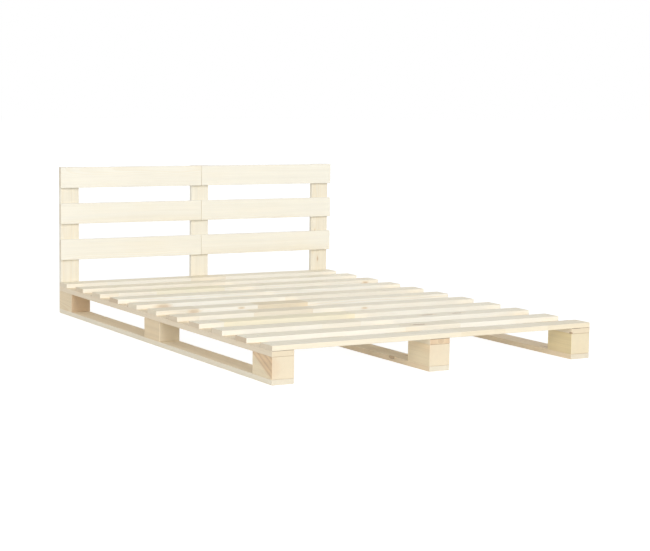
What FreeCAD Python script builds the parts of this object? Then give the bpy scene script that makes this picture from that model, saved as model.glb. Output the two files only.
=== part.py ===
"""Pallet bed frame of planed softwood for a 140 x 200 cm mattress.

Three pallet-like runners carry a slatted deck, and a headboard of paired boards stands on three posts.
Millimetres, +Z up, the foot of the bed towards -Y, the headboard at +Y, the floor at Z = 0.
"""
import FreeCAD, Part

import math
import os
import re

import Sketcher

sizes = {
    # deck
    "deck_width": 1400,
    "deck_length": 2040,
    "slat_count": 11,
    "slat_width": 88,
    "slat_thickness": 19,
    # runners, each a stringer on three blocks on a bottom board
    "runner_width": 88,
    "stringer_thickness": 21,
    "block_length": 148,
    "block_height": 80,
    "bottom_board_thickness": 20,
    # headboard
    "post_width": 88,
    "post_thickness": 19,
    "post_inset": 6,
    "board_height": 93,
    "board_thickness": 19,
    "board_seam": 1,
    "row_gap": 70,
    "headboard_clearance": 101,
    # eased long edges of the planed timber
    "edge_radius": 2,
    # countersunk screws, slat into stringer
    "slat_screw_diameter": 4,
    "slat_screw_head": 8,
    "slat_screw_bite": 14,
    "slat_screw_spacing": 48,
    # countersunk screws, stringer and bottom board into the blocks
    "runner_screw_diameter": 5,
    "runner_screw_head": 10,
    "runner_screw_bite": 30,
    "stringer_screw_edge": 29,
    "bottom_screw_edge": 49,
    # countersunk screws, post into headboard board
    "board_screw_diameter": 4,
    "board_screw_head": 8,
    "board_screw_bite": 13,
    "board_screw_spacing": 46,
    # countersunk screws, post into head block
    "post_screw_diameter": 6,
    "post_screw_head": 12,
    "post_screw_bite": 60,
    "post_screw_spacing": 50,
    "post_screw_edge": 22,
    # what all screws share
    "screw_point": 5,
    "screw_sink": 0.4,
    "screw_clearance": 0.1,
    "drive_span": 4,
    "drive_width": 1,
    "drive_depth": 1.5,
}

# places and lengths that follow from the sizes
derived = {
    "runner_pitch": "(deck_width - runner_width) / 2",
    "post_pitch": "(deck_width - post_width) / 2 - post_inset",
    "block_pitch": "(deck_length - block_length) / 2",
    "slat_pitch": "(deck_length - slat_width) / (slat_count - 1)",
    "foot_end": "-(deck_length + post_thickness) / 2",
    "head_end": "(deck_length - post_thickness) / 2",
    "stringer_level": "bottom_board_thickness + block_height",
    "slat_level": "stringer_level + stringer_thickness",
    "deck_level": "slat_level + slat_thickness",
    "row_pitch": "board_height + row_gap",
    "lowest_row": "deck_level + headboard_clearance",
    "headboard_top": "lowest_row + 2 * row_pitch + board_height",
    "board_length": "(deck_width - board_seam) / 2",
    "seam_screw_offset": "(post_width + board_seam) / 4",
    "slat_screw_length": "slat_thickness + slat_screw_bite - screw_sink",
    "stringer_screw_length": "stringer_thickness + runner_screw_bite - screw_sink",
    "bottom_screw_length": "bottom_board_thickness + runner_screw_bite - screw_sink",
    "board_screw_length": "post_thickness + board_screw_bite - screw_sink",
    "post_screw_length": "post_thickness + post_screw_bite - screw_sink",
}

# side of the bed: left, centre and right as seen from the foot
sides = {"left": -1, "center": 0, "right": 1}
ends = {"foot": 0, "middle": 1, "head": 2}
rows = {"bottom": 0, "middle": 1, "top": 2}

# each kind of screw: the sizes it takes and the way it points from its head
screw_kinds = {
    "slat_screws": {"size": "slat_screw", "length": "slat_screw_length", "points": "down"},
    "stringer_screws": {"size": "runner_screw", "length": "stringer_screw_length", "points": "down"},
    "bottom_board_screws": {"size": "runner_screw", "length": "bottom_screw_length", "points": "up"},
    "headboard_screws": {"size": "board_screw", "length": "board_screw_length", "points": "forward"},
    "post_screws": {"size": "post_screw", "length": "post_screw_length", "points": "forward"},
}

# the plane of a screw's profile, the way its axis runs there, and the plane and sense of its drive
screw_ways = {
    "down": {"profile": "XZ_Plane", "sense": "-1", "drive": "XY_Plane", "reversed": False},
    "up": {"profile": "XZ_Plane", "sense": "1", "drive": "XY_Plane", "reversed": True},
    "forward": {"profile": "XY_Plane", "sense": "-1", "drive": "XZ_Plane", "reversed": True},
}

# repeats of each joint: axis, distance from the first to the last, how many
over_runners = ("X", "2 * runner_pitch", "3")
over_posts = ("X", "2 * post_pitch", "3")
over_slats = ("Y", "deck_length - slat_width", "slat_count")
over_blocks = ("Y", "2 * block_pitch", "3")
over_rows = ("Z", "2 * row_pitch", "3")
slat_pair = ("X", "slat_screw_spacing", "2")
stringer_pair = ("Y", "block_length - 2 * stringer_screw_edge", "2")
bottom_pair = ("Y", "block_length - 2 * bottom_screw_edge", "2")
board_pair = ("Z", "board_screw_spacing", "2")
post_columns = ("X", "post_screw_spacing", "2")
post_rows = ("Z", "block_height - 2 * post_screw_edge", "2")

doc = FreeCAD.newDocument("pallet_bed_frame")


def fill_sheet():
    sheet = doc.addObject("Spreadsheet::Sheet", "Dimensions")
    for row, (alias, value) in enumerate(sizes.items(), start=1):
        sheet.set(f"A{row}", alias)
        sheet.set(f"B{row}", str(value))
        sheet.setAlias(f"B{row}", alias)
    doc.recompute()


def expand(text):
    """Writes an expression with every derived name opened and every size read from the sheet."""
    def replace(match):
        word = match.group(0)
        if word in derived:
            return f"({expand(derived[word])})"
        return f"Dimensions.{word}" if word in sizes else word
    return re.sub(r"[a-z_]+", replace, text)


def bind(item, target, text):
    item.setExpression(target, expand(text))


def origin_feature(body, role):
    return next(feature for feature in body.Origin.OriginFeatures if feature.Role == role)


def new_body(name, place):
    body = doc.addObject("PartDesign::Body", name)
    body.Label = name
    for axis, text in zip("xyz", place):
        bind(body, f"Placement.Base.{axis}", text)
    return body


def new_sketch(body, name, plane, offset=("0", "0", "0")):
    sketch = body.newObject("Sketcher::SketchObject", name)
    sketch.AttachmentSupport = [(origin_feature(body, plane), "")]
    sketch.MapMode = "FlatFace"
    for axis, text in zip("xyz", offset):
        bind(sketch, f"AttachmentOffset.Base.{axis}", text)
    return sketch


def constrain(sketch, relations, dimensions):
    """Adds geometric relations and dimensions, and ties each dimension to the sizes."""
    constraints = [Sketcher.Constraint(*relation) for relation in relations]
    for index, (kind, elements, start, text) in enumerate(dimensions):
        dimension = Sketcher.Constraint(kind, *elements, start)
        dimension.Name = f"size{index}"
        constraints.append(dimension)
    sketch.addConstraint(constraints)
    for index, (kind, elements, start, text) in enumerate(dimensions):
        bind(sketch, f"Constraints.size{index}", text)


def draw_polygon(sketch, corners):
    """Draws a closed outline whose corners are pairs of expressions, from a rough start."""
    count = len(corners)
    start = [FreeCAD.Vector(1 + index, index * index, 0) for index in range(count)]
    lines = [Part.LineSegment(start[index], start[(index + 1) % count]) for index in range(count)]
    sketch.addGeometry(lines, False)
    relations, dimensions = [], []
    for index, (across, along) in enumerate(corners):
        relations.append(("Coincident", index, 2, (index + 1) % count, 1))
        for kind, axis, text in (("DistanceX", -2, across), ("DistanceY", -1, along)):
            if text == "0":
                relations.append(("PointOnObject", index, 1, axis))
            else:
                dimensions.append((kind, (-1, 1, index, 1), 1.0, text))
    constrain(sketch, relations, dimensions)


def draw_section(sketch, across, up):
    """Draws a board's section with eased corners, centred across and standing on the sketch's axis."""
    half, top, radius = sizes[across] / 2, sizes[up], sizes["edge_radius"]
    side, high = half - radius, top - radius
    point = FreeCAD.Vector
    edges = (
        (-side, 0, side, 0), (half, radius, half, high),
        (side, top, -side, top), (-half, high, -half, radius))
    corners = ((side, radius, 270), (side, high, 0), (-side, high, 90), (-side, radius, 180))
    outline = [Part.LineSegment(point(x1, y1, 0), point(x2, y2, 0)) for x1, y1, x2, y2 in edges]
    for x, y, degrees in corners:
        circle = Part.Circle(point(x, y, 0), point(0, 0, 1), radius)
        outline.append(Part.ArcOfCircle(circle, math.radians(degrees), math.radians(degrees + 90)))
    sketch.addGeometry(outline, False)
    relations = [("Vertical", 1), ("Horizontal", 2), ("Vertical", 3)]
    for index in range(4):
        relations.append(("Tangent", index, 2, index + 4, 1))
        relations.append(("Tangent", index + 4, 2, (index + 1) % 4, 1))
    for index in (5, 6, 7):
        relations.append(("Equal", 4, index))
    relations.append(("PointOnObject", 0, 1, -1))
    relations.append(("Symmetric", 0, 1, 0, 2, -2))
    dimensions = [
        ("Radius", (4,), radius, "edge_radius"),
        ("DistanceX", (3, 1, 1, 1), sizes[across], across),
        ("DistanceY", (0, 1, 2, 1), top, up),
    ]
    constrain(sketch, relations, dimensions)


def make_board(name, place, plane, across, up, length):
    """Makes a straight piece of timber: a section on one origin plane, run along the positive axis."""
    body = new_body(name, place)
    section = new_sketch(body, f"{name}_section", plane)
    draw_section(section, across, up)
    timber = body.newObject("PartDesign::Pad", f"{name}_timber")
    timber.Profile = section
    timber.Reversed = plane == "XZ_Plane"
    bind(timber, "Length", length)
    return body


def repeat(body, name, feature, repeats, mode="Features"):
    """Repeats a feature, or the whole shape that ends with it, along the body's axes."""
    copies = body.newObject("PartDesign::MultiTransform", f"{name}_copies")
    copies.Originals = [feature]
    copies.TransformMode = mode
    steps = []
    for index, (axis, extent, count) in enumerate(repeats):
        step = body.newObject("PartDesign::LinearPattern", f"{name}_step{index}")
        step.Direction = (origin_feature(body, f"{axis}_Axis"), [""])
        bind(step, "Length", extent)
        bind(step, "Occurrences", count)
        steps.append(step)
    copies.Transformations = steps
    body.Tip = copies


def screw_profile(kind, hole):
    """Lists the half profile of a countersunk screw, or of the hole that it sits in."""
    size, length = screw_kinds[kind]["size"], screw_kinds[kind]["length"]
    sense = screw_ways[screw_kinds[kind]["points"]]["sense"]
    room = "screw_clearance" if hole else "0"
    head = f"{size}_head / 2 + {room}"
    shank = f"{size}_diameter / 2 + {room}"
    neck = f"{sense} * ({size}_head - {size}_diameter) / 2"
    shoulder = f"{sense} * ({length} - screw_point)"
    tip = f"{sense} * ({length} + {room})"
    mouth = f"{sense} * -2 * screw_sink"
    rim = [("0", mouth), (head, mouth), (head, "0")] if hole else [("0", "0"), (head, "0")]
    return rim + [(shank, neck), (shank, shoulder), ("0", tip)]


def cut_screw_holes(body, kind, at, repeats):
    """Cuts the holes for one kind of screw, the first with its head at a place in the body's own frame."""
    name = f"{body.Name}_{kind}"
    x, y, z = at
    plane = screw_ways[screw_kinds[kind]["points"]]["profile"]
    offset = (x, z, f"-({y})") if plane == "XZ_Plane" else (x, y, z)
    profile = new_sketch(body, f"{name}_profile", plane, offset)
    draw_polygon(profile, screw_profile(kind, hole=True))
    hole = body.newObject("PartDesign::Groove", f"{name}_hole")
    hole.Profile = profile
    hole.ReferenceAxis = (profile, ["V_Axis"])
    hole.Angle = 360
    repeat(body, name, hole, repeats)


def make_screws(kind, place, repeats):
    """Makes all screws of one kind as separate solids, each with a cross drive in its head."""
    way = screw_ways[screw_kinds[kind]["points"]]
    body = new_body(kind, place)
    profile = new_sketch(body, f"{kind}_profile", way["profile"])
    draw_polygon(profile, screw_profile(kind, hole=False))
    shank = body.newObject("PartDesign::Revolution", f"{kind}_shank")
    shank.Profile = profile
    shank.ReferenceAxis = (profile, ["V_Axis"])
    shank.Angle = 360
    cross = new_sketch(body, f"{kind}_cross", way["drive"])
    reach, arm = "drive_span / 2", "drive_width / 2"
    draw_polygon(cross, [
        (reach, arm), (arm, arm), (arm, reach),
        (f"-{arm}", reach), (f"-{arm}", arm), (f"-{reach}", arm),
        (f"-{reach}", f"-{arm}"), (f"-{arm}", f"-{arm}"), (f"-{arm}", f"-{reach}"),
        (arm, f"-{reach}"), (arm, f"-{arm}"), (reach, f"-{arm}"),
    ])
    drive = body.newObject("PartDesign::Pocket", f"{kind}_drive")
    drive.Profile = cross
    drive.Reversed = way["reversed"]
    bind(drive, "Length", "drive_depth")
    repeat(body, kind, drive, repeats, mode="Whole shape")


def make_slats():
    for index in range(sizes["slat_count"]):
        place = ("-deck_width / 2", f"foot_end + slat_width / 2 + {index} * slat_pitch", "slat_level")
        name = f"slat_{sizes['slat_count'] - index:02d}"
        slat = make_board(name, place, "YZ_Plane", "slat_width", "slat_thickness", "deck_width")
        first = ("(runner_width - slat_screw_spacing) / 2", "0", "slat_thickness - screw_sink")
        cut_screw_holes(slat, "slat_screws", first, [slat_pair, over_runners])


def make_stringers():
    for side, sign in sides.items():
        place = (f"{sign} * runner_pitch", "foot_end", "stringer_level")
        stringer = make_board(
            f"stringer_{side}", place, "XZ_Plane", "runner_width", "stringer_thickness", "deck_length")
        under_slat = ("-slat_screw_spacing / 2", "slat_width / 2",
                      "stringer_thickness + slat_thickness - screw_sink")
        cut_screw_holes(stringer, "slat_screws", under_slat, [slat_pair, over_slats])
        over_block = ("0", "stringer_screw_edge", "stringer_thickness - screw_sink")
        cut_screw_holes(stringer, "stringer_screws", over_block, [stringer_pair, over_blocks])


def make_blocks():
    for side, sign in sides.items():
        for end, step in ends.items():
            place = (f"{sign} * runner_pitch", f"foot_end + {step} * block_pitch", "bottom_board_thickness")
            block = make_board(
                f"block_{end}_{side}", place, "XZ_Plane", "runner_width", "block_height", "block_length")
            top = ("0", "stringer_screw_edge", "block_height + stringer_thickness - screw_sink")
            cut_screw_holes(block, "stringer_screws", top, [stringer_pair])
            underside = ("0", "bottom_screw_edge", "screw_sink - bottom_board_thickness")
            cut_screw_holes(block, "bottom_board_screws", underside, [bottom_pair])
            if end == "head":
                behind = (f"{sign} * (post_pitch - runner_pitch) - post_screw_spacing / 2",
                          "block_length + post_thickness - screw_sink", "post_screw_edge")
                cut_screw_holes(block, "post_screws", behind, [post_columns, post_rows])


def make_bottom_boards():
    for side, sign in sides.items():
        place = (f"{sign} * runner_pitch", "foot_end", "0")
        board = make_board(
            f"bottom_board_{side}", place, "XZ_Plane",
            "runner_width", "bottom_board_thickness", "deck_length")
        first = ("0", "bottom_screw_edge", "screw_sink")
        cut_screw_holes(board, "bottom_board_screws", first, [bottom_pair, over_blocks])


def make_posts():
    for side, sign in sides.items():
        place = (f"{sign} * post_pitch", "head_end", "0")
        post = make_board(f"post_{side}", place, "XY_Plane", "post_width", "post_thickness", "headboard_top")
        low = ("-post_screw_spacing / 2", "post_thickness - screw_sink",
               "bottom_board_thickness + post_screw_edge")
        cut_screw_holes(post, "post_screws", low, [post_columns, post_rows])
        beside_seam = side == "center"
        across = "-seam_screw_offset" if beside_seam else "0"
        seam_sides = [("X", "2 * seam_screw_offset", "2")] if beside_seam else []
        first = (across, "post_thickness - screw_sink",
                 "lowest_row + (board_height - board_screw_spacing) / 2")
        cut_screw_holes(post, "headboard_screws", first, seam_sides + [board_pair, over_rows])


def make_headboard_boards():
    # distances along a board from its outer end to its two pairs of screws
    outer, inner = "(post_inset + post_width / 2)", "(deck_width / 2 - seam_screw_offset)"
    for row, step in rows.items():
        for side in ("left", "right"):
            start = "-deck_width / 2" if side == "left" else "board_seam / 2"
            nearest = outer if side == "left" else f"board_length - {inner}"
            place = (start, "head_end - board_thickness / 2", f"lowest_row + {step} * row_pitch")
            board = make_board(
                f"headboard_{row}_{side}", place, "YZ_Plane",
                "board_thickness", "board_height", "board_length")
            first = (nearest, "board_thickness / 2 + post_thickness - screw_sink",
                     "(board_height - board_screw_spacing) / 2")
            cut_screw_holes(board, "headboard_screws", first, [("X", f"{inner} - {outer}", "2"), board_pair])


def make_all_screws():
    make_screws(
        "slat_screws",
        ("-runner_pitch - slat_screw_spacing / 2", "foot_end + slat_width / 2", "deck_level - screw_sink"),
        [slat_pair, over_runners, over_slats])
    make_screws(
        "stringer_screws",
        ("-runner_pitch", "foot_end + stringer_screw_edge", "slat_level - screw_sink"),
        [stringer_pair, over_blocks, over_runners])
    make_screws(
        "bottom_board_screws",
        ("-runner_pitch", "foot_end + bottom_screw_edge", "screw_sink"),
        [bottom_pair, over_blocks, over_runners])
    make_screws(
        "headboard_screws",
        ("-post_pitch", "head_end + post_thickness - screw_sink",
         "lowest_row + (board_height - board_screw_spacing) / 2"),
        [("X", "post_pitch - seam_screw_offset", "2"), ("X", "post_pitch + seam_screw_offset", "2"),
         board_pair, over_rows])
    make_screws(
        "post_screws",
        ("-post_pitch - post_screw_spacing / 2", "head_end + post_thickness - screw_sink",
         "bottom_board_thickness + post_screw_edge"),
        [post_columns, over_posts, post_rows])


def check_and_write():
    for item in doc.Objects:
        if "Invalid" in item.State or "Error" in item.State:
            raise RuntimeError(f"{item.Label} failed: {item.State}")
        is_cut = item.TypeId in ("PartDesign::Groove", "PartDesign::Pocket")
        if is_cut and not item.Shape.Volume < item.BaseFeature.Shape.Volume:
            raise RuntimeError(f"{item.Label} cuts nothing")
    bodies = [item for item in doc.Objects if item.TypeId == "PartDesign::Body"]
    for body in bodies:
        if body.Shape.isNull() or not body.Shape.isValid():
            raise RuntimeError(f"{body.Label} has no valid shape")
        if body.Label not in screw_kinds and len(body.Shape.Solids) != 1:
            raise RuntimeError(f"{body.Label} is not one piece")
    os.makedirs("parts", exist_ok=True)
    for body in bodies:
        body.Shape.exportStep(f"parts/{body.Label}.step")
        print(f"{body.Label}: {len(body.Shape.Solids)} solid(s), {body.Shape.Volume / 1000:.1f} cm3")


fill_sheet()
make_slats()
make_stringers()
make_blocks()
make_bottom_boards()
make_posts()
make_headboard_boards()
make_all_screws()
doc.recompute()
check_and_write()
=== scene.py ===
import math

import bpy
import numpy as np
from mathutils import Matrix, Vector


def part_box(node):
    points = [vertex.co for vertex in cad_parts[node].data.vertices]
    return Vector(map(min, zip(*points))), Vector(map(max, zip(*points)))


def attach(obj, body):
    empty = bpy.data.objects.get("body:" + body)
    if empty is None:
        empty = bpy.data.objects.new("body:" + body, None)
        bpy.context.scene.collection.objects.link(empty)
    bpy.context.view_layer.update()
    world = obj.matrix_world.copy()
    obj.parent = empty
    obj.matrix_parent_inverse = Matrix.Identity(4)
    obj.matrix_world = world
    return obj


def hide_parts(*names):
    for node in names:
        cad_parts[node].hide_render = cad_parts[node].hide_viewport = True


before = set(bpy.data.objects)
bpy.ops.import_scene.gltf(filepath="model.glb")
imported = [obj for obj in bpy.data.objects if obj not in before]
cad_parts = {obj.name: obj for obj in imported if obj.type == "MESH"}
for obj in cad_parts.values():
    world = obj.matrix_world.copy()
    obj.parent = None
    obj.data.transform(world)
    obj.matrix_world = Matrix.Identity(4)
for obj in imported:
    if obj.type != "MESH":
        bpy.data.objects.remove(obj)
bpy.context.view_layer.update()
scene = bpy.context.scene
scene.view_settings.view_transform = "Standard"
print("frame:", len(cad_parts), "nodes")


# A socket that takes part in sums: each operator adds one Math node to the tree
class Wire:
    def __init__(self, tree, socket=None):
        self.tree = tree
        self.socket = socket

    # Any other node: its settings first, then the value or link of each socket
    def node(self, kind, settings=None, inputs=None, out=0):
        made = self.tree.nodes.new(kind)
        for key, value in (settings or {}).items():
            setattr(made, key, value)
        for key, value in (inputs or {}).items():
            if isinstance(value, Wire):
                self.tree.links.new(value.socket, made.inputs[key])
            else:
                made.inputs[key].default_value = value
        return Wire(self.tree, made.outputs[out] if made.outputs else None)

    # Another output of the same node
    def also(self, out):
        return Wire(self.tree, self.socket.node.outputs[out])

    def math(self, operation, *values):
        return self.node("ShaderNodeMath", {"operation": operation}, dict(enumerate(values)))

    def __add__(self, other):
        return self.math("ADD", self, other)

    def __sub__(self, other):
        return self.math("SUBTRACT", self, other)

    def __rsub__(self, other):
        return self.math("SUBTRACT", other, self)

    def __mul__(self, other):
        return self.math("MULTIPLY", self, other)

    def __truediv__(self, other):
        return self.math("DIVIDE", self, other)

    def __gt__(self, other):
        return self.math("GREATER_THAN", self, other)

    def __abs__(self):
        return self.math("ABSOLUTE", self)

    __radd__ = __add__
    __rmul__ = __mul__

    # 0 below low, 1 above high and a soft step between; low may be the larger
    def step(self, low, high):
        return self.node("ShaderNodeMapRange", {"interpolation_type": "SMOOTHSTEP"},
                         {"Value": self, "From Min": low, "From Max": high})

    # Root of the sum of squares
    def length(self, *values):
        return self.math("SQRT", sum(value * value for value in values))

    # The three values of a vector
    def parts(self, vector):
        first = self.node("ShaderNodeSeparateXYZ", None, {0: vector})
        return first, first.also(1), first.also(2)

    # The three values of an attribute that the piece carries
    def attribute(self, label):
        return self.parts(self.node("ShaderNodeAttribute", {"attribute_name": label}, out="Vector"))

    # Noise about 0, from -0.5 to 0.5, at a place given by three values
    def noise(self, x, y, z, detail=2.0):
        place = self.node("ShaderNodeCombineXYZ", None, {0: x, 1: y, 2: z})
        return self.node("ShaderNodeTexNoise", None, {"Vector": place, "Scale": 1.0, "Detail": detail}) - 0.5

    # One random number from 0 to 1 for each value
    def dice(self, value):
        return self.node("ShaderNodeTexWhiteNoise", {"noise_dimensions": "1D"}, {"W": value})

    # A colour from low to high by a share from 0 to 1
    def mixed(self, low, high, share):
        return self.node("ShaderNodeMix", {"data_type": "RGBA"}, {0: share, 6: low, 7: high}, out=2)

    # A colour made lighter or darker by a value
    def scaled(self, factor):
        return self.node("ShaderNodeVectorMath", {"operation": "SCALE"}, {0: self, "Scale": factor})


def colour(r, g, b):
    return (r, g, b, 1.0)


def newMaterial(name):
    material = bpy.data.materials.new(name)
    material.use_nodes = True
    material.node_tree.nodes.clear()
    return material, Wire(material.node_tree)


# Wood laid down in spring is pale, and in summer it makes the line of each ring. Joined lengths lean to tan
# or to straw, and the heart is the wood near the middle of the tree. The edge colour is painted light and
# shade on a board's edge faces, its narrow long sides: paler on the fronts of the slats and the sides of
# the runners. A share is how strongly a colour or pattern shows.
deckPine = {
    "pale": colour(0.915, 0.870, 0.735), "ring": colour(0.800, 0.680, 0.460),
    "tan": colour(0.765, 0.640, 0.435), "straw": colour(0.860, 0.770, 0.500),
    "heart": colour(0.860, 0.730, 0.530), "edge": colour(0.936, 0.934, 0.888),
    "endPale": colour(0.840, 0.740, 0.570), "endDark": colour(0.500, 0.310, 0.150),
    "ringShare": 0.40, "streakShare": 0.18, "fibreShare": 0.10, "edgeLightShare": 0.60,
}
# Painted light: the headboard's pine is a greyer, less yellow copy of the deck pine with fainter figure, for
# the washed-out look of its brightly lit front
litHeadPine = dict(deckPine, pale=colour(0.874, 0.847, 0.749), heart=colour(0.830, 0.742, 0.566),
                ringShare=0.28, streakShare=0.12)
postPine = dict(deckPine, pale=colour(0.838, 0.808, 0.710))
runnerPine = {
    "pale": colour(0.925, 0.815, 0.630), "ring": colour(0.740, 0.580, 0.360),
    "tan": colour(0.740, 0.570, 0.370), "straw": colour(0.830, 0.710, 0.440),
    "heart": colour(0.820, 0.620, 0.410), "edge": colour(0.900, 0.870, 0.750),
    "endPale": colour(0.712, 0.620, 0.455), "endDark": colour(0.600, 0.400, 0.230),
    "ringShare": 0.44, "streakShare": 0.20, "fibreShare": 0.12, "edgeLightShare": 0.50,
}
# The bottom boards' edge colour is darker: painted shade on their sides
bottomPine = dict(runnerPine, pale=colour(0.950, 0.845, 0.660), edge=colour(0.820, 0.790, 0.675),
                  ring=colour(0.820, 0.670, 0.450), heart=colour(0.890, 0.730, 0.530),
                  endPale=colour(0.620, 0.590, 0.495), edgeLightShare=0.60)
blockPine = {
    "pale": colour(0.880, 0.765, 0.550), "ring": colour(0.680, 0.480, 0.270),
    "tan": colour(0.720, 0.540, 0.330), "straw": colour(0.800, 0.660, 0.360),
    "heart": colour(0.800, 0.590, 0.370), "edge": colour(0.880, 0.765, 0.550),
    "endPale": colour(0.755, 0.675, 0.525), "endDark": colour(0.560, 0.380, 0.240),
    "ringShare": 0.46, "streakShare": 0.22, "fibreShare": 0.12, "edgeLightShare": 0.0,
}
# Reaches are in knot radii, from where a colour fades out to where it is full
knotWood = {
    "halo": colour(0.760, 0.610, 0.420), "core": colour(0.420, 0.255, 0.135),
    "bark": colour(0.165, 0.095, 0.052),
    "stretch": 0.34,                  # width of a knot beside its length along the grain
    "outline": (90, 190, 0, 2),       # a pattern as in the figure below
    "ragged": 0.5,                    # how far the outline strays
    "haloReach": (2.6, 0.9), "haloShare": 0.65,
    "coreReach": (1.15, 0.60),
    "coreLeast": 0.16,                # share of the core in the palest knots
    "turns": 21.0, "turnShare": 0.16,                 # fineness and strength of the rings inside it
    "barkOutside": (1.18, 1.0), "barkInside": (0.74, 0.95), "barkShare": 0.8,
    "pithReach": (0.30, 0.05), "pithShare": 0.6,
    "polishReach": (1.1, 0.9),
}
fingerJoint = {"pitch": 0.0042, "depth": 0.0100, "glue": 0.00022, "glueShare": 0.7, "seedStep": 7.31}
# Painted shade: a dark colour on the arrises where a board's end turns into its upper or lower face, for the
# contact shadow in the seams between boards
seamShade = {"colour": colour(0.200, 0.130, 0.080), "reach": 8.0}      # a larger reach fills more of a seam

# The figure is what shows of the rings and fibres. A pattern is given by how fine it is in a metre along the
# grain and across it, by how far the seed shifts it, and by its detail. The bands of a ring set in, are full
# and end at shares of its width.
figure = {
    "streak": (1.1, 60, 9, 3), "fibre": (9, 620, 1, 2), "cloud": (3.2, 9, 2, 2),
    "pores": (40, 900, 0, 2), "fuzz": (50, 1400, 0, 2),
    "ripple": (5, 55, 1, 2), "rippleDepth": 0.0020,
    "pithScatter": 0.05,              # how far apart the piths of joined lengths may lie
    "driftAcross": (1.3, 0.034, 3.7, 0.0),        # how often in a metre the pith strays, how far, and seeds
    "driftDeep": (1.6, 0.030, 5.1, 4.0),
    "taper": 0.005,                   # how much the tree narrows in a metre
    "swell": 1.3, "swellFade": 0.22,  # how far rings bend round a knot, and how soon that ends
    "firstTurn": 40,                  # keeps the count of rings above 0
    "lateWood": (0.25, 0.90, 0.93),
    "faintest": 0.35,                 # the faintest ring beside the boldest
    "heartReach": (0.052, 0.026),     # metres from the pith, where the heart fades out and where it is full
    "heartShare": 0.35, "cloudHeart": 0.9,
    "flamesPerRing": 0.30,            # flames are the broad brown bands of bold boards
    "flame": (0.35, 0.80, 0.88), "flameReach": (0.052, 0.030), "flameShare": 0.4,
    "cloudShade": 0.06,
    "endSoftens": 0.6,                # how far end grain softens the rings
    "endShare": 0.62, "endPores": 0.5,
}
planed = {
    "rough": 0.66, "ringRough": -0.10, "fibreRough": 0.10, "endRough": 0.16, "knotRough": -0.16,
    "ringHeight": 0.35, "fibreHeight": 0.9, "bump": 0.45, "bumpDepth": 0.00025, "gloss": 0.32,
}


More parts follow.
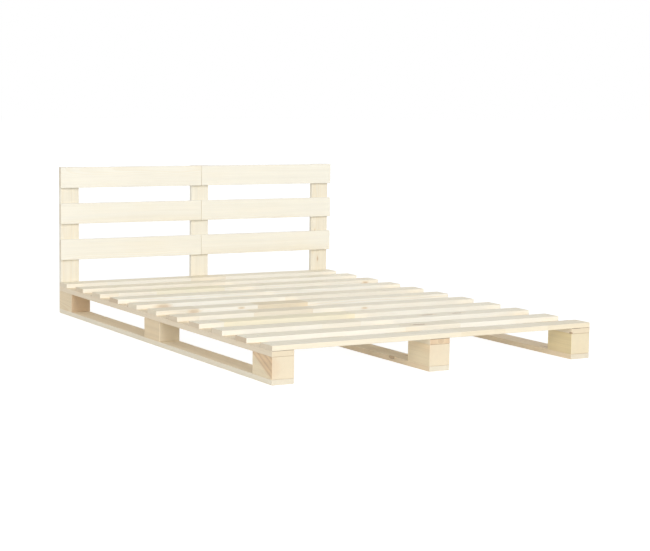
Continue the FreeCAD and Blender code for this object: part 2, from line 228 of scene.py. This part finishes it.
# Pine as a solid. Rings are cylinders about a pith line that wanders along the board, read in the board's own
# lengthwise, crosswise and thickness coordinates, so face, edge and end grain meet at the edges.
def pineMaterial(name, look):
    material, wire = newMaterial(name)
    along, across, deep = wire.attribute("grain")
    pithAcross, pithDeep, seed = wire.attribute("pith")
    spacing, lean, boldness = wire.attribute("rings")
    endFace, edgeLightMask, endTone = wire.attribute("faces")
    joinA, joinB, joinC = wire.attribute("joins")
    toneA, toneB, toneC = wire.attribute("tones")
    sizeA, sizeB, darkness = wire.attribute("knots")
    seamShadow = wire.attribute("seamShadow")[0]

    # noise drawn out along the grain, apart for each board and length
    def drawn(pattern):
        lengthwise, crosswise, shift, detail = pattern
        return wire.noise(along * lengthwise, across * crosswise + own * shift, deep * crosswise, detail)

    # stray of the pith along the board
    def drift(often, far, shift, level):
        return wire.noise(along * often, own * shift, level) * far

    # soft rise from where a band sets in to where it is full, and a quick fall to the end of its phase
    def band(phase, limits):
        return phase.step(limits[0], limits[1]) * phase.step(1.0, limits[2])

    # joined lengths: a zigzag of fingers parts them, and each has its own tone and seed; the fourth is like
    # the second, and an edge share below 0 adds tan to the edges as painted shade
    pitch = fingerJoint["pitch"]
    zigzag = wire.math("PINGPONG", across, pitch / 2) - pitch / 4
    place = along + zigzag * (2 * fingerJoint["depth"] / pitch)
    pastA, pastB, pastC = place > joinA, place > joinB, place > joinC
    tone = toneA + pastA * (toneB - toneA) + pastB * (toneC - toneB) + pastC * (toneB - toneC)
    # painted shade: an edge share below 0 adds tan to the edge faces
    tone = tone - wire.math("MINIMUM", edgeLightMask, 0.0)
    nearest = wire.math("MINIMUM", abs(place - joinB), abs(place - joinC))
    nearest = wire.math("MINIMUM", abs(place - joinA), nearest)
    glue = nearest.step(fingerJoint["glue"], 0.0)
    own = seed + (pastA + pastB + pastC) * fingerJoint["seedStep"]

    # knots: distance in knot radii with a ragged outline, and the swell that bends the rings round them
    ragged = 1 + drawn(knotWood["outline"]) * knotWood["ragged"]

    def knotRadii(label, size):
        x, y, z = wire.attribute(label)
        return wire.length((along - x) * knotWood["stretch"], across - y, deep - z) * ragged / size

    def swelling(radii, size):
        return wire.math("EXPONENT", radii * radii * -figure["swellFade"]) * size

    radiiA, radiiB = knotRadii("knotA", sizeA), knotRadii("knotB", sizeB)
    spread = wire.math("MINIMUM", radiiA, radiiB)
    swell = swelling(radiiA, sizeA) + swelling(radiiB, sizeB)

    # rings about the pith, which drifts along the board and leans with the slope of the grain
    scatter = (wire.dice(own) - 0.5) * figure["pithScatter"]
    offAcross = across - pithAcross - scatter - drift(*figure["driftAcross"])
    offDeep = deep - pithDeep - drift(*figure["driftDeep"]) - lean * along
    fromPith = wire.length(offAcross, offDeep)
    ripple = drawn(figure["ripple"]) * figure["rippleDepth"]
    grown = fromPith + ripple - along * figure["taper"] + swell * figure["swell"]
    turn = grown / spacing + figure["firstTurn"]
    faintest = figure["faintest"]
    bold = faintest + (1 - faintest) * wire.dice(wire.math("FLOOR", turn) + own)
    ring = band(wire.math("FRACT", turn), figure["lateWood"]) * bold * wire.math("MINIMUM", boldness, 1.0)
    flame = band(wire.math("FRACT", turn * figure["flamesPerRing"]), figure["flame"])
    flame = flame * wire.math("MAXIMUM", boldness - 1, 0.0) * fromPith.step(*figure["flameReach"])

    # lengthwise streaks, fibres, soft patches and the pores of the end grain
    streak = drawn(figure["streak"])
    fibre = drawn(figure["fibre"])
    cloud = drawn(figure["cloud"])
    pores = drawn(figure["pores"])

    # painted light and shade: the edge faces take the edge colour
    wood = wire.mixed(look["pale"], look["edge"], edgeLightMask * look["edgeLightShare"])
    heart = fromPith.step(*figure["heartReach"]) * boldness * figure["heartShare"]
    heart = heart + wire.math("MAXIMUM", cloud * figure["cloudHeart"], 0.0)
    wood = wire.mixed(wood, look["heart"], heart)
    wood = wire.mixed(wood, look["ring"], ring * (1 - endFace * figure["endSoftens"]) * look["ringShare"])
    wood = wire.mixed(wood, look["endDark"], flame * (1 - endFace) * figure["flameShare"])
    wood = wire.mixed(wood, look["tan"], wire.math("MAXIMUM", tone, 0.0))
    wood = wire.mixed(wood, look["straw"], wire.math("MAXIMUM", 0 - tone, 0.0))
    shade = streak * look["streakShare"] + fibre * look["fibreShare"] + cloud * figure["cloudShade"]
    wood = wood.scaled(1 + shade)
    ends = wire.mixed(look["endPale"], look["endDark"], endTone)
    wood = wire.mixed(wood, ends, endFace * (figure["endShare"] + pores * figure["endPores"]))

    # knots from the outside in: halo, core with its own rings, then bark round it and a dark pith
    wood = wire.mixed(wood, knotWood["halo"], spread.step(*knotWood["haloReach"]) * knotWood["haloShare"])
    turns = wire.math("SINE", spread * knotWood["turns"]) * knotWood["turnShare"]
    least = knotWood["coreLeast"]
    core = spread.step(*knotWood["coreReach"]) * (turns + (1 - knotWood["turnShare"]))
    wood = wire.mixed(wood, knotWood["core"], core * (least + (1 - least) * darkness))
    bark = spread.step(*knotWood["barkOutside"]) * spread.step(*knotWood["barkInside"])
    bark = bark + spread.step(*knotWood["pithReach"]) * knotWood["pithShare"]
    wood = wire.mixed(wood, knotWood["bark"], bark * darkness * knotWood["barkShare"])
    wood = wire.mixed(wood, look["ring"], glue * fingerJoint["glueShare"])
    # painted shade: the contact shadow in the seams at the ends
    wood = wire.mixed(wood, seamShade["colour"], seamShadow)

    rough = planed["rough"] + ring * planed["ringRough"] + fibre * planed["fibreRough"]
    rough = rough + endFace * planed["endRough"] + spread.step(*knotWood["polishReach"]) * planed["knotRough"]
    height = ring * planed["ringHeight"] + fibre * planed["fibreHeight"] + endFace * drawn(figure["fuzz"])
    bump = wire.node("ShaderNodeBump", None, {
        "Strength": planed["bump"], "Distance": planed["bumpDepth"], "Height": height})
    shader = wire.node("ShaderNodeBsdfPrincipled", None, {
        "Base Color": wood, "Roughness": rough, "Normal": bump, "Specular IOR Level": planed["gloss"]})
    wire.node("ShaderNodeOutputMaterial", None, {"Surface": shader})
    return material


zincSteel = {
    "plate": colour(0.72, 0.71, 0.66), "dull": colour(0.50, 0.48, 0.42), "rough": 0.47,
    "bloom": 420, "bloomEdge": (-0.15, 0.25), "bloomRough": 0.18,     # patches in a metre, and their edge
    "scratch": 2600, "scratchRough": 0.08,
}


# Zinc plating: a dull bloom in patches over brighter metal, with fine scratches in the roughness
def steelMaterial(name, look):
    material, wire = newMaterial(name)
    x, y, z = wire.parts(wire.node("ShaderNodeTexCoord", out="Object"))
    bloom = wire.noise(x * look["bloom"], y * look["bloom"], z * look["bloom"], 3.0)
    scratch = wire.noise(x * look["scratch"], y * look["scratch"], z * look["scratch"], 1.0)
    rough = look["rough"] + bloom * look["bloomRough"] + scratch * look["scratchRough"]
    shader = wire.node("ShaderNodeBsdfPrincipled", None, {
        "Base Color": wire.mixed(look["plate"], look["dull"], bloom.step(*look["bloomEdge"])),
        "Metallic": 1.0, "Roughness": rough})
    wire.node("ShaderNodeOutputMaterial", None, {"Surface": shader})
    return material


materials = {
    "deck_pine": pineMaterial("planedDeckPine", deckPine),
    "lit_head_pine": pineMaterial("planedLitHeadPine", litHeadPine),
    "post_pine": pineMaterial("planedPostPine", postPine),
    "runner_pine": pineMaterial("planedRunnerPine", runnerPine),
    "bottom_pine": pineMaterial("planedBottomPine", bottomPine),
    "block_pine": pineMaterial("sawnBlockPine", blockPine),
    "screw_steel": steelMaterial("zincPlatedSteel", zincSteel),
}
print("materials:", ", ".join(materials))

timber = {
    "easing": 0.0016,          # mean radius of the eased edges
    "easingMost": 0.0024,
    "easingVary": 0.38,        # share by which it wanders along an edge
    "easingSpan": 0.09,
    "step": 0.022,             # lattice step along a board
    "crossStep": 0.011,
    "flatFrom": 2.0,           # even lattice lines start this many largest edge radii from an edge
    "markClear": 1.05,         # how far they keep from a mark, in its reach
    "nickDepth": (0.0002, 0.0007),
    "nickLength": (0.004, 0.012),
    "nickReach": 0.0035,
    "nicksPerMetre": 2,
    "nickWithin": 0.97,        # share of a board's length that nicks keep to
    "sharpAngle": 42,
    "noJoin": 9.0,             # places that no board reaches, for the joins and knots that it lacks
    "noKnot": (9.0, 9.0, 9.0, 0.01),
}
growth = {                     # what differs at random from board to board
    "riftPith": ((0.05, 0.09), (0.02, 0.05)),      # how far beside and behind the board the pith lies
    "archPith": ((-0.03, 0.03), (0.03, 0.08)),
    "spacing": (0.75, 1.35), "tone": (0.2, 1.0), "endTone": (0.0, 1.0),      # shares of what its kind has
    "lean": (-0.012, 0.012),   # slope of the grain
    "numberSeed": 1.37, "familySeed": 0.61,
    "darkness": 0.4,           # of knots, where a board does not say
}
screwSeats = {                 # screws whose heads show: head radius and depth of the seat they sit in
    "slat_screws": {"head": 0.0040, "depth": 0.0026, "axis": 2, "tip": "low"},
    "stringer_screws": {"head": 0.0050, "depth": 0.0026, "axis": 2, "tip": "low"},
    "bottom_board_screws": {"head": 0.0050, "depth": 0.0026, "axis": 2, "tip": "high"},
    "headboard_screws": {"head": 0.0040, "depth": 0.0026, "axis": 1, "tip": "low"},
    "post_screws": {"head": 0.0060, "depth": 0.0026, "axis": 1, "tip": "low"},
}
# lattice lines about a seat in head radii, about a nick in its lengths, and at an edge in largest edge radii
seatRings = np.array([-1.75, -1.3, -1.08, -1.02, -0.6, 0, 0.6, 1.02, 1.08, 1.3, 1.75])
nickRings = np.array([-1.6, -0.9, -0.4, 0, 0.4, 0.9, 1.6])
easedRings = np.array([0, 0.3, 0.6, 1.0, 1.5])
tipReach = 1e-5                # points this near to the lowest or the highest are at the tips
seatEdge = 1.05                # lattice within this many head radii sinks
flatLevel = 0.99               # a normal this near to upright is on the flat


# Each screw has one pointed tip, so the points at the tips' level give one place per screw
def screwPlaces(node):
    seat = screwSeats[node]
    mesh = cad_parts[node].data
    points = np.zeros(len(mesh.vertices) * 3, np.float32)
    mesh.vertices.foreach_get("co", points)
    points = points.reshape(-1, 3).astype(float)
    level = points[:, seat["axis"]]
    tips = level < level.min() + tipReach if seat["tip"] == "low" else level > level.max() - tipReach
    return np.unique(np.round(points[tips], 4), axis=0)


# A smooth random line from -1 to 1 through values placed every span along x
def wander(rng, x, span):
    place = (x - x.min()) / span
    left = np.floor(place).astype(int)
    values = rng.uniform(-1, 1, left.max() + 2)
    share = place - left
    share = share * share * (3 - 2 * share)
    return values[left] * (1 - share) + values[left + 1] * share


# Lines of the lattice over one side of a board: even steps on the flat, closer ones round the eased edges,
# and the lines about each mark in place of the even ones there
def latticeLines(half, step, marks, offsets):
    radius = timber["easingMost"]
    reach = half - radius * timber["flatFrom"]
    flat = np.linspace(-reach, reach, max(2, round(2 * half / step)))
    clear = np.ones(len(flat), bool)
    found = []
    for mark, offset in zip(marks, offsets):
        clear &= abs(flat - mark) > offset.max() * timber["markClear"]
        found.append(mark + offset)
    edge = half - radius * easedRings
    lines = np.concatenate([flat[clear], edge, -edge, *found])
    return np.unique(np.round(lines[abs(lines) <= half + 1e-9], 6))


# The four corners of each square between neighbouring lines of a grid
def cells(grid):
    return np.stack([grid[:-1, :-1], grid[1:, :-1], grid[1:, 1:], grid[:-1, 1:]], -1).reshape(-1, 4)


# A board is the skin of a lattice box. A lattice point p goes to q + r * unit(p - q), where q is p held r
# inside the box, so the flats stay flat and the edges turn round; r wanders along each edge. Squares of
# lattice about a screw are pushed to circles, and the innermost circles sink to make its seat.
def boardSkin(half, seats, rng):
    nickCount = max(2, round(2 * half[0] * timber["nicksPerMetre"]))
    nickAt = rng.uniform(-timber["nickWithin"], timber["nickWithin"], nickCount) * half[0]
    nickLong = rng.uniform(*timber["nickLength"], nickCount)
    nickDeep = rng.uniform(*timber["nickDepth"], nickCount)
    nickSide = rng.choice([-1.0, 1.0], (nickCount, 2))
    circles = [seatRings * s["head"] for s in seats]
    alongLines = latticeLines(half[0], timber["step"], [s["at"][0] for s in seats] + list(nickAt),
                              circles + [size * nickRings for size in nickLong])
    acrossLines = latticeLines(half[1], timber["crossStep"], [s["at"][1] for s in seats], circles)
    deepLines = latticeLines(half[2], timber["crossStep"], [], [])

    shape = (len(alongLines), len(acrossLines), len(deepLines))
    i, j, k = np.meshgrid(*map(np.arange, shape), indexing="ij")
    skin = (i == 0) | (i == shape[0] - 1) | (j == 0) | (j == shape[1] - 1) | (k == 0) | (k == shape[2] - 1)
    ids = np.full(shape, -1)
    ids[skin] = np.arange(skin.sum())
    p = np.stack([alongLines[i[skin]], acrossLines[j[skin]], deepLines[k[skin]]], -1)
    faces = np.concatenate([
        cells(ids[:, :, -1]), cells(ids[:, ::-1, 0]), cells(ids[:, -1, :].T), cells(ids[:, 0, :]),
        cells(ids[-1]), cells(ids[0].T)])

    edge = (p[:, 1] > 0) * 2 + (p[:, 2] > 0)
    lines = np.stack([wander(rng, p[:, 0], timber["easingSpan"]) for _ in range(4)])
    radius = timber["easing"] * (1 + timber["easingVary"] * lines[edge, np.arange(len(p))])
    radius = np.minimum(radius, timber["easingMost"])[:, None]
    held = np.clip(p, radius - half, half - radius)
    normal = (p - held) / np.linalg.norm(p - held, axis=1, keepdims=True)
    out = held + radius * normal

    # nicks press an edge in towards the board's middle line
    away = np.linalg.norm(p[:, None, 1:] - nickSide[None] * half[1:], axis=2) / timber["nickReach"]
    near = np.exp(-((p[:, None, 0] - nickAt) / nickLong) ** 2 - away ** 2) * nickDeep
    out[:, 1:] -= (near[:, :, None] * nickSide[None]).sum(1)

    for s in seats:
        off = out[:, :2] - np.array(s["at"])
        square = abs(off).max(1) / s["head"]
        flat = normal[:, 2] * s["side"] > flatLevel
        inside = (square < seatRings[-1]) & (square > 0) & flat
        pull = np.clip((seatRings[-1] - square) / (seatRings[-1] - seatRings[-2]), 0, 1)
        ratio = square * s["head"] / np.maximum(np.linalg.norm(off, axis=1), 1e-9)
        turned = np.array(s["at"]) + off * (1 + pull * (ratio - 1))[:, None]
        out[inside, :2] = turned[inside]
        out[(square < seatEdge) & flat, 2] -= s["side"] * s["depth"]
    return out, faces, normal ** 2


# A vector for each point of a mesh, or one vector for all of them
def storeVectors(mesh, label, values):
    layer = mesh.attributes.new(label, "FLOAT_VECTOR", "POINT")
    spread = np.broadcast_to(np.asarray(values, np.float32), (len(mesh.vertices), 3))
    layer.data.foreach_set("vector", np.ascontiguousarray(spread).ravel())


# A timber takes its place and size from its CAD node; style gives its grain direction, screws, joins and
# knots, and what it leaves open is drawn at random
def makeTimber(node, style, number):
    rng = np.random.default_rng(style["seed"] + number)
    axes = np.array([style["along"], style["across"], np.cross(style["along"], style["across"])], float)
    low, high = (np.array(corner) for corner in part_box(node))
    centre = (low + high) / 2
    half = abs(axes @ (high - low)) / 2
    seats = []
    for screws, side in style["screws"]:
        places = (screwPlaces(screws) - centre) @ axes.T
        fits = (abs(places[:, :2]) < half[:2]).all(1)
        seats += [{"at": place[:2], "side": side, **screwSeats[screws]} for place in places[fits]]
    skin, faces, facing = boardSkin(half, seats, rng)

    mesh = bpy.data.meshes.new(node + "_timber")
    mesh.from_pydata(skin @ axes + centre, [], faces)
    mesh.shade_smooth()
    mesh.set_sharp_from_angle(angle=math.radians(timber["sharpAngle"]))
    piece = bpy.data.objects.new(node + "_timber", mesh)
    scene.collection.objects.link(piece)

    # rift boards, cut beside the pith, show straight lines, and the others arches
    own = style["special"].get(node, {})
    side, other = rng.choice([-1, 1], 2)
    rift = rng.uniform() < style["rift"]
    beside, behind = growth["riftPith" if rift else "archPith"]
    pithAcross = (side if rift else 1) * rng.uniform(*beside)
    pithDeep = other * rng.uniform(*behind)
    pithAcross, pithDeep = own.get("pith", (pithAcross, pithDeep))
    tones = own.get("tones", (style["tone"] * rng.uniform(*growth["tone"]),))
    spacing = own.get("spacing", style["spacing"] * rng.uniform(*growth["spacing"]))
    lean = own.get("lean", rng.uniform(*growth["lean"]))
    endTone = own.get("endTone", style["endTone"] * rng.uniform(*growth["endTone"]))
    seed = number * growth["numberSeed"] + style["seed"] * growth["familySeed"]
    joins = [*own.get("joins", ()), *[timber["noJoin"]] * 3][:3]
    knots = [*own.get("knots", ()), *[timber["noKnot"]] * 2][:2]
    darkness = own.get("darkness", growth["darkness"])

    # painted shade, for the contact shadow in the seams between boards, lies where an end turns into the
    # upper or the lower face
    rounded = np.clip(facing[:, 0] * facing[:, 2] * seamShade["reach"], 0, 1)
    seamShadow = rounded * np.where(skin[:, 2] > 0, *style.get("seamShadow", (0.0, 0.0)))
    storeVectors(mesh, "seamShadow", seamShadow[:, None])
    storeVectors(mesh, "grain", skin + [half[0], 0, 0])
    storeVectors(mesh, "pith", (pithAcross, pithDeep, seed))
    storeVectors(mesh, "rings", (spacing, lean, own.get("boldness", 1.0)))
    # the middle value carries the board's share of painted edge light, and below 0 of painted tan shade
    storeVectors(mesh, "faces", facing * [1, own.get("edgeLight", 1.0), 0] + [0, 0, endTone])
    storeVectors(mesh, "joins", joins)
    storeVectors(mesh, "tones", [*tones, tones[-1], tones[-1]][:3])
    storeVectors(mesh, "knots", (knots[0][3], knots[1][3], darkness))
    storeVectors(mesh, "knotA", knots[0][:3])
    storeVectors(mesh, "knotB", knots[1][:3])

    mesh.materials.append(materials[style.get("wood", style["slot"])])
    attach(piece, "root")
    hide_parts(node)
    return piece


# Boards that differ from their kind are special. Places along a board run from its left, foot or lower end,
# and a knot is placed along it, across it and up from its middle, with its radius, all in metres. Tones go
# from -1, straw, over 0, pale, to 1, tan, and bold boards, over 1, show flames. The edge value of a board is
# how much of the edge colour, painted light and shade, its edge faces take, and below 0 they take tan as
# painted shade. The seam value is how much painted shade, for the contact shadow, lies in the seams at its
# ends, above and below.
slats = {
    "along": (1, 0, 0), "across": (0, 1, 0), "slot": "deck_pine", "seed": 100,
    "screws": [("slat_screws", 1)], "spacing": 0.0034, "rift": 0.35, "tone": 0.12, "endTone": 0.20,
    "special": {
        "slat_01": {"joins": (0.20, 0.62, 0.80), "tones": (0.22, 0.12, 0.38)},
        "slat_02": {"joins": (0.70,), "tones": (0.24, 0.10), "endTone": 0.52},
        "slat_03": {"joins": (0.09, 0.27, 0.60), "tones": (0.30, 0.14, -0.45),
                    "knots": ((1.330, -0.044, -0.002, 0.0034), (1.338, 0.018, 0.0095, 0.0060)),
                    "darkness": 0.25},
        "slat_04": {"endTone": 0.85},
        "slat_05": {"joins": (0.145, 0.695), "tones": (0.18, 0.00, 0.22), "darkness": 0.1,
                    "knots": ((0.120, -0.044, -0.003, 0.0075),)},
        "slat_06": {"joins": (0.19, 0.46, 0.695), "tones": (0.34, 0.10, 0.70), "darkness": 0.1,
                    "knots": ((0.165, -0.044, -0.001, 0.0055), (0.380, -0.044, 0.002, 0.0028))},
        "slat_07": {"joins": (0.10, 0.34, 0.61), "tones": (0.30, 0.12, 0.46), "endTone": 0.40,
                    "knots": ((0.850, -0.044, 0.000, 0.0030),), "darkness": 0.05},
        "slat_08": {"joins": (0.11, 0.69), "tones": (0.08, -0.48, 0.05), "endTone": 0.58},
        "slat_09": {"joins": (0.43, 0.60), "tones": (0.10, 0.26, 0.08), "endTone": 0.30, "darkness": 0.9,
                    "knots": ((0.935, 0.008, 0.0095, 0.0080), (1.075, 0.004, 0.0095, 0.0065))},
        "slat_10": {"joins": (0.68, 0.93), "tones": (0.10, 0.28, 0.06), "endTone": 0.80, "darkness": 0.9,
                    "knots": ((0.755, -0.012, 0.0095, 0.0085),)},
        "slat_11": {"joins": (0.80, 1.00, 1.20), "tones": (0.10, 0.30, 0.16), "endTone": 0.40,
                    "knots": ((1.345, 0.036, 0.0095, 0.0035),), "darkness": 0.7, "edgeLight": -0.25},
    },
}
stringers = {
    "along": (0, 1, 0), "across": (-1, 0, 0), "slot": "runner_pine", "seed": 200,
    "screws": [("stringer_screws", 1)], "spacing": 0.0036, "rift": 0.4, "tone": 0.25, "endTone": 0.15,
    "seamShadow": (1.0, 0.3),
    "special": {
        "stringer_left": {"tones": (0.26,), "edgeLight": 0.6},
        "stringer_center": {"knots": ((0.000, -0.004, 0.004, 0.0120),), "darkness": 0.20, "endTone": 1.0},
        "stringer_right": {"knots": ((0.003, 0.043, -0.008, 0.0035),), "darkness": 0.9},
    },
}
blocks = {
    "along": (0, 1, 0), "across": (-1, 0, 0), "slot": "runner_pine", "wood": "block_pine", "seed": 300,
    "screws": [], "spacing": 0.0042, "rift": 0.6, "tone": 0.20, "endTone": 0.15, "seamShadow": (0.3, 0.2),
    "special": {
        "block_foot_left": {"pith": (0.030, 0.000), "lean": 0.52, "spacing": 0.0060, "boldness": 2.6,
                            "tones": (0.02,)},
        "block_foot_center": {"tones": (0.0,), "boldness": 0.6},
        "block_foot_right": {"tones": (-0.60,)},
        "block_middle_left": {"tones": (0.42,), "boldness": 0.4, "endTone": 0.0},
        "block_head_left": {"endTone": 1.0, "tones": (0.16,)},
    },
}
bottomBoards = {
    "along": (0, 1, 0), "across": (-1, 0, 0), "slot": "runner_pine", "wood": "bottom_pine", "seed": 400,
    "screws": [("bottom_board_screws", -1)], "spacing": 0.0036, "rift": 0.4, "tone": 0.40, "endTone": 0.10,
    "seamShadow": (0.2, 0.0),
    "special": {
        "bottom_board_left": {"tones": (0.0,)},
        "bottom_board_center": {"knots": ((0.260, 0.044, 0.006, 0.0060), (0.246, -0.021, 0.010, 0.0050)),
                                "darkness": 0.6, "tones": (0.0,), "edgeLight": -0.6, "boldness": 0.3},
        "bottom_board_right": {"knots": ((0.188, 0.015, 0.010, 0.0060),), "darkness": 0.6, "tones": (0.12,),
                               "edgeLight": -0.4},
    },
}
posts = {
    "along": (0, 0, 1), "across": (-1, 0, 0), "slot": "deck_pine", "wood": "post_pine", "seed": 500,
    "screws": [("headboard_screws", -1), ("post_screws", -1)],
    "spacing": 0.0034, "rift": 0.5, "tone": 0.25, "endTone": 0.25,
    "special": {
        "post_right": {"knots": ((0.195, 0.006, 0.0095, 0.0030), (0.330, 0.024, 0.0095, 0.0025)),
                       "tones": (0.30,)},
    },
}
headboards = {
    "along": (1, 0, 0), "across": (0, 0, 1), "slot": "deck_pine", "wood": "lit_head_pine", "seed": 600,
    "screws": [], "spacing": 0.0036, "rift": 0.5, "tone": 0.06, "endTone": 0.30,
    "special": {},
}
families = {"slat": slats, "stringer": stringers, "block": blocks,
            "bottom_board": bottomBoards, "post": posts, "headboard": headboards}
for prefix, style in families.items():
    members = sorted(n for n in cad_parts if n.startswith(prefix) and not n.endswith("screws"))
    made = [makeTimber(node, style, number) for number, node in enumerate(members)]
    print(prefix, len(made), "pieces,", sum(len(piece.data.polygons) for piece in made) * 2, "triangles")

for node in screwSeats:
    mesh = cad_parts[node].data
    mesh.materials.clear()
    mesh.materials.append(materials["screw_steel"])
print("screws:", len(screwSeats), "groups")

studio = {
    "floorSize": 80.0,
    "floorLines": 9,
    "floorLevel": -0.0002,
    "floorWhite": 0.93,
    "cameraGlow": 0.84,        # light that the floor adds for the camera, to be white where unshaded
    "cameraShare": 0.36,       # what shows of its own light and shade
    "skyLight": 0.47,
}
lamps = {
    "key": {"place": (-1.5, -27.9, 10.8), "aim": (0.0, 0.0, 0.2), "size": 12.0, "watts": 4140.0},
    "side": {"place": (-11.5, -9.0, 4.3), "aim": (0.0, 0.0, 0.1), "size": 8.0, "watts": 575.0},
    "fill": {"place": (6.0, 8.0, 3.0), "aim": (0.0, 0.2, 0.2), "size": 4.0, "watts": 76.0},
    "back": {"place": (-1.0, 15.8, 2.0), "aim": (0.0, 0.5, 0.3), "size": 6.0, "watts": 400.0},
}


def grey(level):
    return colour(level, level, level)


# 1 for rays from the camera, straight or through gloss and glass
def seenRays(wire):
    camera = wire.node("ShaderNodeLightPath", out="Is Camera Ray")
    others = wire.math("MAXIMUM", camera.also("Is Glossy Ray"), camera.also("Is Transmission Ray"))
    return wire.math("MAXIMUM", camera, others)


# A flat square; what the camera sees of it is near white and keeps part of its shade
def makeFloor():
    reach = studio["floorSize"] / 2
    line = np.linspace(-reach, reach, studio["floorLines"])
    x, y = np.meshgrid(line, line, indexing="ij")
    points = np.stack([x, y, np.full_like(x, studio["floorLevel"])], -1).reshape(-1, 3)
    mesh = bpy.data.meshes.new("studioFloor")
    mesh.from_pydata(points, [], cells(np.arange(x.size).reshape(x.shape)))
    floor = bpy.data.objects.new("studioFloor", mesh)
    scene.collection.objects.link(floor)
    material, wire = newMaterial("paleFloor")
    plain = wire.node("ShaderNodeBsdfDiffuse", None, {"Color": grey(studio["floorWhite"])})
    seen = wire.node("ShaderNodeBsdfDiffuse", None, {"Color": grey(studio["cameraShare"])})
    glow = wire.node("ShaderNodeEmission", None, {"Color": grey(1.0), "Strength": studio["cameraGlow"]})
    bright = wire.node("ShaderNodeAddShader", None, {0: seen, 1: glow})
    shader = wire.node("ShaderNodeMixShader", None, {0: seenRays(wire), 1: plain, 2: bright})
    wire.node("ShaderNodeOutputMaterial", None, {"Surface": shader})
    mesh.materials.append(material)


# White for the camera, and a plain soft light for everything else
def makeSky():
    world = bpy.data.worlds.new("studioSky")
    scene.world = world
    world.use_nodes = True
    world.node_tree.nodes.clear()
    wire = Wire(world.node_tree)
    soft = wire.node("ShaderNodeBackground", None, {"Color": grey(1.0), "Strength": studio["skyLight"]})
    white = wire.node("ShaderNodeBackground", None, {"Color": grey(1.0), "Strength": 1.0})
    shader = wire.node("ShaderNodeMixShader", None, {0: seenRays(wire), 1: soft, 2: white})
    wire.node("ShaderNodeOutputWorld", None, {"Surface": shader})


# A square lamp whose -Z axis points from its place to its aim
def makeLamp(label, lamp):
    light = bpy.data.lights.new(label + "Lamp", "AREA")
    light.shape, light.size, light.energy = "SQUARE", lamp["size"], lamp["watts"]
    holder = bpy.data.objects.new(label + "Lamp", light)
    place, aim = np.array(lamp["place"]), np.array(lamp["aim"])
    back = (place - aim) / np.linalg.norm(place - aim)
    right = np.cross((0, 0, 1), back)
    right /= np.linalg.norm(right)
    turned = np.stack([right, np.cross(back, right), back], -1)
    holder.matrix_world = Matrix.Translation(place) @ Matrix(turned.tolist()).to_4x4()
    scene.collection.objects.link(holder)


view = {"place": (-3.37978, -6.01658, 1.03169), "yaw": 30.0661, "pitch": 6.4864, "roll": 0.8232,
        "lens": 91.4495, "sensor": 36.0, "nearest": 0.05, "farthest": 200.0}


# The camera stands at its place, turned by yaw from +Y to +X, tipped down by pitch and rolled about its view
def makeCamera():
    camera = bpy.data.cameras.new("photoView")
    camera.lens, camera.sensor_width, camera.sensor_fit = view["lens"], view["sensor"], "HORIZONTAL"
    camera.clip_start, camera.clip_end = view["nearest"], view["farthest"]
    holder = bpy.data.objects.new("photoView", camera)
    turn = Matrix.Rotation(-math.radians(view["yaw"]), 4, "Z")
    tip = Matrix.Rotation(math.radians(90 - view["pitch"]), 4, "X")
    roll = Matrix.Rotation(math.radians(view["roll"]), 4, "Z")
    holder.matrix_world = Matrix.Translation(view["place"]) @ turn @ tip @ roll
    scene.collection.objects.link(holder)
    scene.camera = holder


makeFloor()
makeSky()
for label, lamp in lamps.items():
    makeLamp(label, lamp)
makeCamera()
print("studio: floor, sky,", len(lamps), "lamps and camera")
